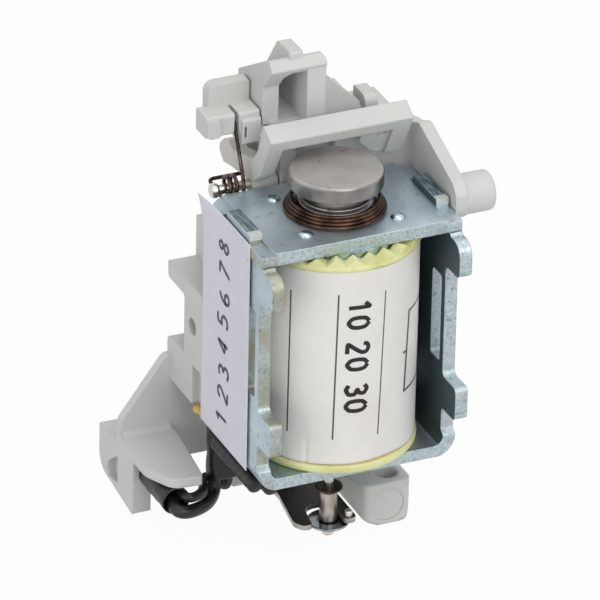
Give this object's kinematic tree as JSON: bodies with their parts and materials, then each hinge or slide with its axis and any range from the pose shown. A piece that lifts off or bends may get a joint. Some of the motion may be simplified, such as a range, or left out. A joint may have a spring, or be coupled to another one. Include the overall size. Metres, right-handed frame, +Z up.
{
  "type": "undervoltage release",
  "caption": "Solenoid undervoltage release of a circuit breaker: coil in a steel yoke, spring-loaded plunger, trip lever, reset fork",
  "frame": {"origin": "on the plunger's axis, at the underside of the yoke", "axes": "+Z up along the plunger, +X to the right, +Y to the back, where the moulded carrier is"},
  "size_m": [0.0476, 0.0449, 0.0781],
  "materials": {
    "zinc_steel": "zinc plated sheet steel",
    "ground_steel": "turned and ground steel",
    "nickel": "nickel plated steel",
    "dark_steel": "blackened steel",
    "bronze": "dark bronze wire",
    "brass": "drawn brass",
    "copper": "enamelled copper wire",
    "bobbin_plastic": "moulded plastic, pale yellow green",
    "grey_plastic": "moulded plastic, light grey",
    "black_plastic": "black insulation",
    "amber_tape": "amber film tape",
    "paper": "paper label"
  },
  "bodies": {
    "frame": {"yoke": "zinc_steel", "top_plate": "zinc_steel", "plate_rivets": "zinc_steel", "pole_collar": "zinc_steel", "bobbin": "bobbin_plastic", "winding": "copper", "winding_tape": "amber_tape", "coil_label": "paper", "guide_tube": "brass", "pole_core": "ground_steel", "pole_shim": "brass", "side_label": "paper", "return_spring": "bronze", "lever_pin": "nickel", "torsion_spring": "dark_steel", "carrier": "grey_plastic", "spring_block": "grey_plastic", "reset_pin": "nickel", "splice_sleeves": "black_plastic", "lead_sheath": "black_plastic", "coil_leads": "black_plastic", "lead_cables": "black_plastic", "cable_sleeve": "black_plastic", "lead_tape": "amber_tape"},
    "plunger": {"plunger": "ground_steel", "push_rod": "ground_steel", "rod_sleeve": "nickel", "rod_collar": "bronze", "rod_flange": "nickel"},
    "trip_lever": {"trip_lever": "grey_plastic"},
    "reset_lever": {"reset_lever": "dark_steel", "reset_stud": "nickel"}
  },
  "joints": [
    {"name": "plunger_slide", "type": "slide", "parent": "frame", "child": "plunger", "axis": [0, 0, 1], "range_m": [-0.0032, 0], "stiffness_N_per_m": 1500, "springref_m": 0.004, "deforming": ["return_spring"]},
    {"name": "trip_lever_pivot", "type": "hinge", "parent": "frame", "child": "trip_lever", "pos_m": [0, 0.0123, 0.0396], "axis": [1, 0, 0], "range_deg": [0, 18]},
    {"name": "reset_lever_pivot", "type": "hinge", "parent": "frame", "child": "reset_lever", "pos_m": [0, 0.017, -0.0124], "axis": [1, 0, 0], "range_deg": [0, 9.6]}
  ],
  "couplings": [
    {"joint": "trip_lever_pivot", "follows": "plunger_slide", "rad_per_m": -98},
    {"joint": "reset_lever_pivot", "follows": "plunger_slide", "rad_per_m": -52.3}
  ]
}
